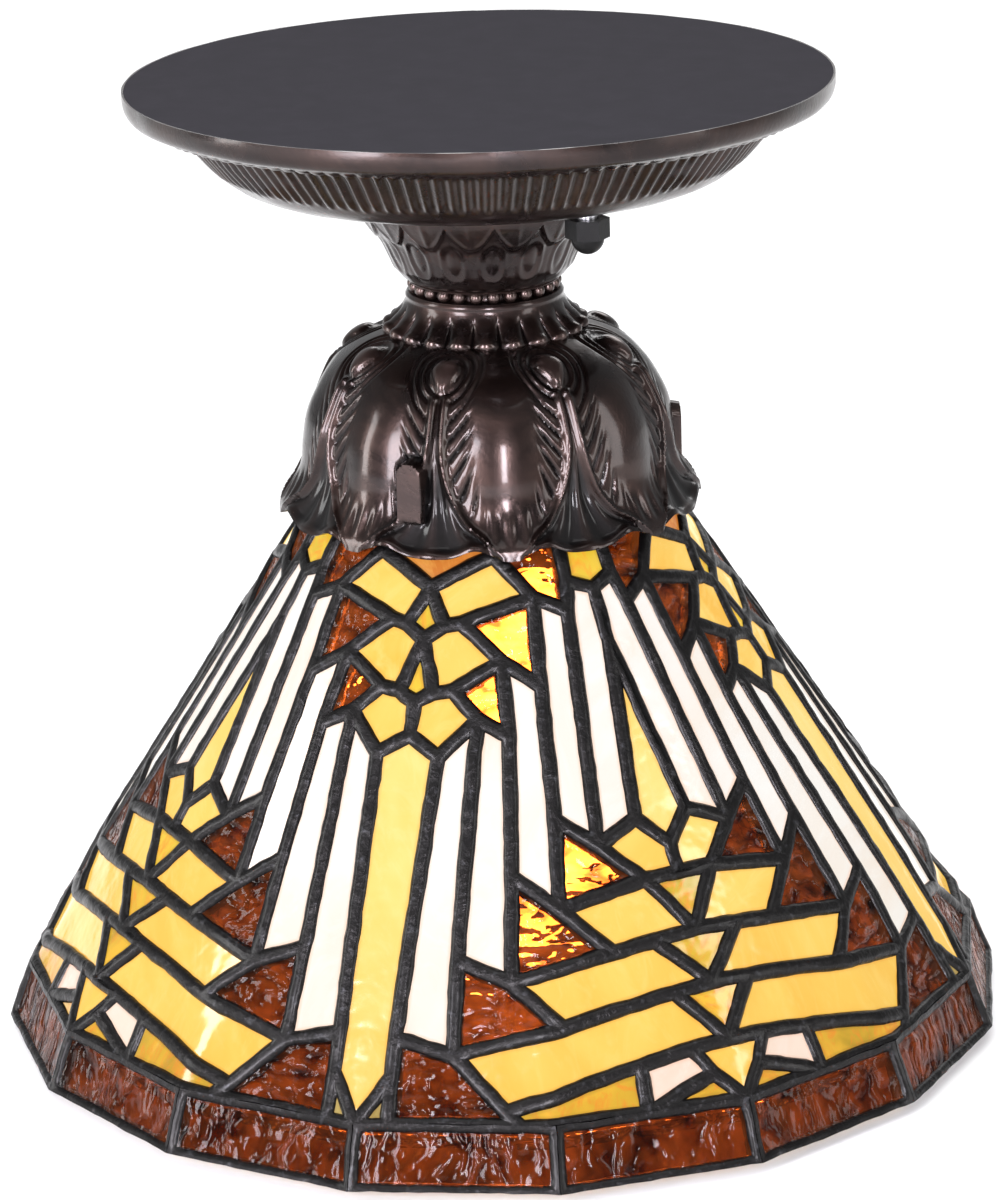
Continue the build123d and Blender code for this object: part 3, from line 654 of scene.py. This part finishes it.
def side_factor(turn, z):
    """Pulls the cone in towards the flats of the sixteen-sided skirt as it nears it."""
    flat = cos(pi / SIDES) / cos(radians(turn % (360 / SIDES) - 180 / SIDES))
    return 1 + (flat - 1) * ease(-z, 150, -SKIRT_Z)


def roll_up(bm):
    """Wrap the flat layout round the cone. A pane is pulled part of the way, by FLATTEN, from following the cone
    towards being flat between its own sides.
    """
    middle = bm.verts.layers.float["middle"]
    half = bm.verts.layers.float["half"]
    for vert in bm.verts:
        flat_turn = atan2(vert.co.x, -vert.co.y) / SLANT_SIN
        radius = hypot(vert.co.x, vert.co.y) * SLANT_SIN
        z = SKIRT_Z - (radius - SKIRT_R) / CONE_SLOPE
        radius *= side_factor(degrees(flat_turn), z)
        if vert[half]:
            aside = min(abs(flat_turn - vert[middle]), vert[half])
            vert.co.z -= FLATTEN * radius * (1 - cos(vert[half]) / cos(aside))
        out = radius + vert.co.z * SLANT_COS
        turn = flat_turn + radians(SHADE_TURN)
        vert.co = (out * sin(turn), -out * cos(turn), z + vert.co.z * SLANT_SIN)


def motif_sheet():
    """One whole motif of panes laid out flat. A face's material number is its kind of glass."""
    bm = bmesh.new()
    for label in ("crown", "edge", "pane", "middle", "half"):
        bm.verts.layers.float.new(label)
    corners = {}

    def corner(turn, z):
        key = (round(turn, 3), z)
        if key not in corners:
            corners[key] = bm.verts.new(unrolled(turn, z))
        return corners[key]

    for kind, outlines in AXIS_PANES.items():
        for names in outlines:
            joints = [JOINTS[name] for name in names.split()]
            axis = joints[0][0]
            whole = joints + [(2 * axis - turn, z) for turn, z in reversed(joints[1:-1])]
            bm.faces.new([corner(*joint) for joint in whole]).material_index = KINDS.index(kind)
    for kind, outlines in PANES.items():
        for names in outlines:
            for hand in (1, -1):
                joints = [(hand * JOINTS[name][0], JOINTS[name][1]) for name in names.split()]
                bm.faces.new([corner(*joint) for joint in joints]).material_index = KINDS.index(kind)
    bmesh.ops.recalc_face_normals(bm, faces=bm.faces)
    return bm


def make_came_solid(bm, step):
    """Turn a flat sheet of panes into the came round them: rounded beads, above and below the glass."""
    crown = bm.verts.layers.float["crown"]
    panes = bm.faces[:]
    border = bmesh.ops.inset_individual(bm, faces=panes, thickness=CAME_WIDE / 2, use_even_offset=True)["faces"]
    for vert in bm.verts:
        vert[crown] = 1.0
    for face in panes:
        for vert in face.verts:
            vert[crown] = 0.0
    runs = {}
    for face in border:
        outer, inner = None, None
        for edge in face.edges:
            total = edge.verts[0][crown] + edge.verts[1][crown]
            if total == 2:
                outer = edge
            elif total == 0:
                inner = edge
        if outer and inner:
            cuts = max(0, round(outer.calc_length() / step) - 1)
            runs.setdefault(cuts, set()).update((outer, inner))
    bmesh.ops.delete(bm, geom=panes, context="FACES_ONLY")
    for cuts, edges in runs.items():
        if cuts:
            bmesh.ops.subdivide_edges(bm, edges=list(edges), cuts=cuts, use_grid_fill=True)
    cross = [edge for edge in bm.edges if abs(edge.verts[0][crown] - edge.verts[1][crown]) > 0.5]
    bmesh.ops.subdivide_edges(bm, edges=cross, cuts=2, use_grid_fill=True)

    grown = bmesh.ops.extrude_face_region(bm, geom=bm.faces[:])["geom"]
    above = {part for part in grown if isinstance(part, bmesh.types.BMVert)}
    for vert in bm.verts:
        rise = CAME_PROUD * sqrt(max(0.0, 1 - (1 - vert[crown]) ** 2)) - 0.05
        vert.co.z = rise if vert in above else -GLASS - rise


def uneven(bm):
    """Wobble the came a little, as hand-run solder does."""
    for vert in bm.verts:
        spot = vert.co * 0.28
        vert.co += 0.22 * noise.noise_vector(spot) + 0.10 * noise.noise_vector(vert.co * 0.9)


def make_pane_solids(bm, kind, chance):
    """Keep one kind of pane from a flat sheet, trim it to reach under the came, and give it its edge ring."""
    edge = bm.verts.layers.float["edge"]
    bmesh.ops.delete(bm, geom=[face for face in bm.faces if face.material_index != kind], context="FACES")
    panes = bm.faces[:]
    margin = bmesh.ops.inset_individual(bm, faces=panes, thickness=CAME_WIDE / 2 - 0.75, use_even_offset=True)["faces"]
    bmesh.ops.delete(bm, geom=margin, context="FACES")
    tag_panes(bm, panes, chance)
    for vert in bm.verts:
        vert[edge] = 1.0
    bmesh.ops.inset_individual(bm, faces=panes, thickness=1.35, use_even_offset=True)
    for face in panes:
        for vert in face.verts:
            vert[edge] = 0.0


def tag_panes(bm, panes, chance):
    """Give each pane its own number, and the middle and half width of the turn that it spans."""
    pane, middle, half = (bm.verts.layers.float[label] for label in ("pane", "middle", "half"))
    for face in panes:
        turns = [atan2(vert.co.x, -vert.co.y) / SLANT_SIN for vert in face.verts]
        own = chance.random()
        for vert in face.verts:
            vert[pane] = own
            vert[middle] = (max(turns) + min(turns)) / 2
            vert[half] = (max(turns) - min(turns)) / 2


def grid_cut(bm, step):
    """Cut flat panes along a square grid so that they can follow the cone."""
    low = Vector((min(v.co.x for v in bm.verts), min(v.co.y for v in bm.verts), 0))
    high = Vector((max(v.co.x for v in bm.verts), max(v.co.y for v in bm.verts), 0))
    for axis in (0, 1):
        normal = Vector((1 - axis, axis, 0))
        for k in range(1, int((high[axis] - low[axis]) / step) + 1):
            bmesh.ops.bisect_plane(
                bm, geom=bm.verts[:] + bm.edges[:] + bm.faces[:], dist=1e-4,
                plane_co=low + normal * step * k, plane_no=normal,
            )


def thicken(bm):
    """Give a flat sheet the glass's thickness, downwards."""
    grown = bmesh.ops.extrude_face_region(bm, geom=bm.faces[:])["geom"]
    for part in grown:
        if isinstance(part, bmesh.types.BMVert):
            part.co.z = 0.0
            part.tag = True
    for vert in bm.verts:
        if not vert.tag:
            vert.co.z = -GLASS
    bmesh.ops.recalc_face_normals(bm, faces=bm.faces)


def tilt_skirt(bm):
    """Stand a flat skirt pane, drawn with its top edge on the X axis, in its place below the cone."""
    middle, half = bm.verts.layers.float["middle"], bm.verts.layers.float["half"]
    turn = radians(SHADE_TURN + 180 / SIDES)
    flat_top, flat_rim = SKIRT_R * cos(pi / SIDES), RIM_R * cos(pi / SIDES)
    down = Vector((flat_rim - flat_top, 0, RIM_Z - SKIRT_Z)).normalized()
    out = Vector((-down.z, 0, down.x))
    for vert in bm.verts:
        vert[middle] = vert[half] = 0.0
        reach = flat_top + down.x * -vert.co.y + out.x * vert.co.z
        z = SKIRT_Z + down.z * -vert.co.y + out.z * vert.co.z
        along = Vector((cos(turn), sin(turn), 0)) * vert.co.x
        vert.co = Vector((reach * sin(turn), -reach * cos(turn), z)) + along


def skirt_sheet():
    """One flat skirt pane, four-sided, with its top edge on the X axis."""
    bm = bmesh.new()
    for label in ("crown", "edge", "pane", "middle", "half"):
        bm.verts.layers.float.new(label)
    top, rim = SKIRT_R * sin(pi / SIDES), RIM_R * sin(pi / SIDES)
    drop = hypot((RIM_R - SKIRT_R) * cos(pi / SIDES), RIM_Z - SKIRT_Z) - 0.9
    corners = [(-top, 0.4), (-rim, -drop), (rim, -drop), (top, 0.4)]
    bm.faces.new([bm.verts.new((x, y, 0)) for x, y in corners])
    bm.normal_update()
    return bm


def make_shade(finishes, came):
    """The whole leaded shade: came, every kind of pane, and the skirt."""
    sheet = motif_sheet()
    solid = sheet.copy()
    make_came_solid(solid, 2.2)
    roll_up(solid)
    all_round(solid, 4)
    uneven(solid)
    piece(solid, "shade_came", came, "shade", "lead", "shade_lead", sharp=75)
    chance = random.Random(11)
    for kind, label in enumerate(KINDS):
        panes = sheet.copy()
        make_pane_solids(panes, kind, chance)
        grid_cut(panes, 2.4)
        thicken(panes)
        roll_up(panes)
        all_round(panes, 4)
        finish, slot = finishes[label]
        piece(panes, "panes_" + label, finish, "shade", slot, "glass_" + label, sharp=40)
    sheet.free()

    skirt = skirt_sheet()
    solid = skirt.copy()
    make_came_solid(solid, 2.2)
    tilt_skirt(solid)
    all_round(solid, SIDES)
    uneven(solid)
    piece(solid, "skirt_came", came, "shade", "lead", "skirt_lead", sharp=75)
    skirt.faces.ensure_lookup_table()
    make_pane_solids(skirt, 0, chance)
    grid_cut(skirt, 2.4)
    thicken(skirt)
    tilt_skirt(skirt)
    all_round(skirt, SIDES)
    finish, slot = finishes["skirt"]
    piece(skirt, "panes_skirt", finish, "shade", slot, "glass_skirt", sharp=40)


def glass_finishes():
    """Finish and slot of every kind of pane."""
    brown = ripple_finish("brown_ripple", 230.0, 2.0, 1.8)
    skirt = ripple_finish("skirt_ripple", 360.0, 0.25, 1.1)
    return {
        "white": (opal_finish(
            "white_opal", (0.82, 0.80, 0.76), (0.80, 0.70, 0.60), (0.84, 0.84, 0.82), (0.88, 0.40, 0.16), (1.0, 0.96, 0.90),
            0.95, streak=40.0, wispy=0.4), "white_glass"),
        "amber_blades": (opal_finish(
            "amber_blade_opal", (0.90, 0.66, 0.20), (0.88, 0.55, 0.10), (0.92, 0.74, 0.32), (0.80, 0.28, 0.03),
            (1.0, 0.84, 0.50), 0.92, streak=60.0, stretch=3.0, wispy=0.3), "amber_glass"),
        "amber": (opal_finish(
            "amber_opal", (0.88, 0.61, 0.14), (0.86, 0.48, 0.065), (0.92, 0.70, 0.24), (0.80, 0.25, 0.02),
            (1.0, 0.86, 0.52), 0.92, wispy=0.35), "amber_glass"),
        "brown": (brown, "brown_glass"),
        "skirt": (skirt, "brown_glass"),
        "green": (opal_finish(
            "green_opal", (0.92, 0.60, 0.05), (0.50, 0.38, 0.025), (0.90, 0.32, 0.03), (0.26, 0.14, 0.02),
            (0.85, 0.62, 0.5), 0.85, streak=70.0, stretch=3.0, wispy=0.8), "green_glass"),
        "orange": (opal_finish(
            "orange_opal", (0.80, 0.28, 0.05), (0.48, 0.13, 0.02), (0.90, 0.52, 0.12), (0.3, 0.07, 0.01),
            (1.0, 0.9, 0.8), 0.80, streak=80.0), "orange_glass"),
        "pink": (opal_finish(
            "pink_opal", (0.86, 0.74, 0.63), (0.86, 0.62, 0.50), (0.88, 0.78, 0.70), (0.8, 0.40, 0.24),
            (1.0, 0.95, 0.9), 0.90), "pink_glass"),
        "tips": (opal_finish(
            "tip_opal", (0.62, 0.50, 0.16), (0.36, 0.26, 0.06), (0.7, 0.6, 0.3), (0.30, 0.16, 0.04),
            (1.0, 0.9, 0.8), 0.70), "green_glass"),
    }


# --- bulb --------------------------------------------------------------------------------
def make_bulb():
    """Frosted bulb, spun from its outline."""
    outer = smooth_line([
        (13.4, -96.6), (14.2, -99), (15.4, -105), (18, -113), (21.5, -121), (26.6, -133), (30, -147), (28.6, -157),
        (24.6, -166), (18, -173), (9.5, -177), (0, -178),
    ], 1.6)
    bm = spun(outer, [(0, -177.2), (20, -169), (29, -147), (20.6, -121), (12.6, -98)], 8, 12)
    return piece(bm, "bulb_frosted", bulb_finish(), "bulb", "bulb_glass", "bulb_glass")


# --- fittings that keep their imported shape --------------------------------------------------
def finish_fittings(bronze, came):
    """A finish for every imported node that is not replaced."""
    steel = plain_finish("zinc", (0.38, 0.38, 0.40), (0.62, 0.62, 0.64), 0.25, Metallic=1.0)
    brass = plain_finish("brass", (0.42, 0.27, 0.09), (0.72, 0.52, 0.22), 0.22, Metallic=1.0)
    finishes = {
        plain_finish("backing_board", (0.033, 0.0315, 0.0365), (0.039, 0.037, 0.043), 0.85, 1400.0, 0.02,
                     Specular_IOR_Level=0.02): ["backing_plate"],
        plain_finish("black_nut", (0.003, 0.003, 0.003), (0.008, 0.008, 0.008), 0.28, 700.0, 0.05,
                     Specular_IOR_Level=0.1): ["cap_nut_front", "cap_nut_back"],
        steel: ["crossbar", "canopy_studs", "stud_locknuts", "canopy_locknut", "bell_locknut", "canopy_washer"],
        brass: ["socket_shell", "socket_cap", "screw_shell", "centre_contact", "shade_ring", "lamp_pipe", "bell_washer"],
        plain_finish("green_screw", (0.02, 0.16, 0.05), (0.05, 0.30, 0.10), 0.3, Metallic=0.7): ["ground_screw"],
        plain_finish("paper_liner", (0.16, 0.10, 0.055), (0.27, 0.18, 0.10), 0.7, 700.0, 0.1): ["socket_liner"],
        plain_finish("porcelain", (0.74, 0.72, 0.67), (0.84, 0.83, 0.79), 0.15, 500.0, 0.03): ["socket_block"],
        plain_finish("black_lead", (0.010, 0.010, 0.010), (0.02, 0.02, 0.02), 0.45): ["lead_black"],
        plain_finish("white_lead", (0.62, 0.61, 0.58), (0.75, 0.74, 0.71), 0.45): ["lead_white"],
        plain_finish("wire_nut", (0.45, 0.13, 0.02), (0.60, 0.20, 0.03), 0.4): ["wire_connectors"],
        plain_finish("cap_aluminium", (0.50, 0.50, 0.51), (0.75, 0.75, 0.76), 0.3, Metallic=1.0): ["bulb_base"],
        plain_finish("stem_glass", (0.75, 0.78, 0.78), (0.86, 0.88, 0.88), 0.08, Transmission_Weight=0.9): ["filament_mount"],
        plain_finish("tungsten", (0.25, 0.24, 0.23), (0.4, 0.38, 0.36), 0.35, Metallic=1.0): ["filament"],
    }
    for finish, nodes in finishes.items():
        for node in nodes:
            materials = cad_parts[node].data.materials
            materials.clear()
            materials.append(finish)


# --- floor, light and camera ----------------------------------------------------------------
def make_floor():
    """Pale plain floor just under the rim, open from below so that the light can be seen from there."""
    bm = bmesh.new()
    bmesh.ops.create_circle(bm, cap_ends=True, segments=96, radius=9.0)
    bmesh.ops.translate(bm, verts=bm.verts, vec=(0, 0, RIM_Z * MM - 0.0015))
    mesh = bpy.data.meshes.new("floor")
    bm.to_mesh(mesh)
    bm.free()
    finish, tree, shader = new_finish("floor_paint", Base_Color=(0.90, 0.90, 0.89, 1), Roughness=0.75, Specular_IOR_Level=0.1)
    open_side = add(tree, "BsdfTransparent")
    mix = add(tree, "MixShader", {0: add(tree, "NewGeometry").outputs["Backfacing"]})
    tree.links.new(shader.outputs[0], mix.inputs[1])
    tree.links.new(open_side.outputs[0], mix.inputs[2])
    tree.links.new(mix.outputs[0], tree.nodes["Material Output"].inputs["Surface"])
    mesh.materials.append(finish)
    floor = bpy.data.objects.new("floor", mesh)
    bpy.context.scene.collection.objects.link(floor)


def make_softbox(name, place, aim, width, height, power, colour=(1, 1, 1)):
    """Rectangular area light at a place, pointed at another."""
    light = bpy.data.lights.new(name, "AREA")
    light.shape = "RECTANGLE"
    light.size, light.size_y = width, height
    light.energy = power
    light.color = colour
    lamp = bpy.data.objects.new(name, light)
    lamp.location = place
    lamp.rotation_euler = (Vector(aim) - Vector(place)).to_track_quat("-Z", "Y").to_euler()
    bpy.context.scene.collection.objects.link(lamp)


def make_light():
    """White room with soft boxes above, to the left and to the right."""
    world = bpy.data.worlds.new("studio")
    bpy.context.scene.world = world
    world.use_nodes = True
    tree = world.node_tree
    room = tree.nodes["Background"]
    room.inputs["Color"].default_value = (0.97, 0.98, 1.0, 1)
    room.inputs["Strength"].default_value = 0.42
    make_softbox("overhead", (0, -0.2, 2.0), (0, 0, -0.1), 2.2, 2.2, 26.0)
    make_softbox("key", (-0.80, -1.04, 0.20), (0, 0, -0.08), 0.34, 0.8, 28.0, (0.95, 0.92, 1.0))
    make_softbox("front", (0.12, -1.20, 0.18), (0, 0, -0.07), 0.18, 0.6, 18.0, (0.95, 0.92, 1.0))
    make_softbox("left", (-1.2, -0.15, 0.15), (0, 0, -0.08), 0.25, 0.8, 9.0)
    make_softbox("right", (1.15, -0.55, 0.20), (0, 0, -0.08), 0.30, 0.9, 6.0)
    make_softbox("rear", (0.3, 1.4, 0.9), (0, 0, -0.09), 1.2, 0.8, 10.0)


def make_camera():
    """Camera a little above the light, looking down at it."""
    pitch, roll = radians(18.09), -0.02986
    right, up = Vector((1, 0, 0)), Vector((0, sin(pitch), cos(pitch)))
    ahead = Vector((0, cos(pitch), -sin(pitch)))
    side = cos(roll) * right + sin(roll) * up
    top = cos(roll) * up - sin(roll) * right
    data = bpy.data.cameras.new("camera")
    data.lens = 133.9
    data.sensor_width = 36.0
    data.clip_start, data.clip_end = 0.05, 30.0
    camera = bpy.data.objects.new("camera", data)
    camera.matrix_world = Matrix((
        (side.x, top.x, -ahead.x, 1.2 * MM),
        (side.y, top.y, -ahead.y, -852.8 * MM),
        (side.z, top.z, -ahead.z, 171.8 * MM),
        (0, 0, 0, 1),
    ))
    bpy.context.scene.collection.objects.link(camera)
    bpy.context.scene.camera = camera


make_camera()
make_light()
make_floor()
bronze = bronze_finish()
came = came_finish()
make_canopy(bronze)
make_neck(bronze)
make_beads(bronze)
make_collar(bronze)
make_bell(bronze)
make_shade(glass_finishes(), came)
make_bulb()
finish_fittings(bronze, came)
bpy.context.scene.view_settings.view_transform = "Standard"
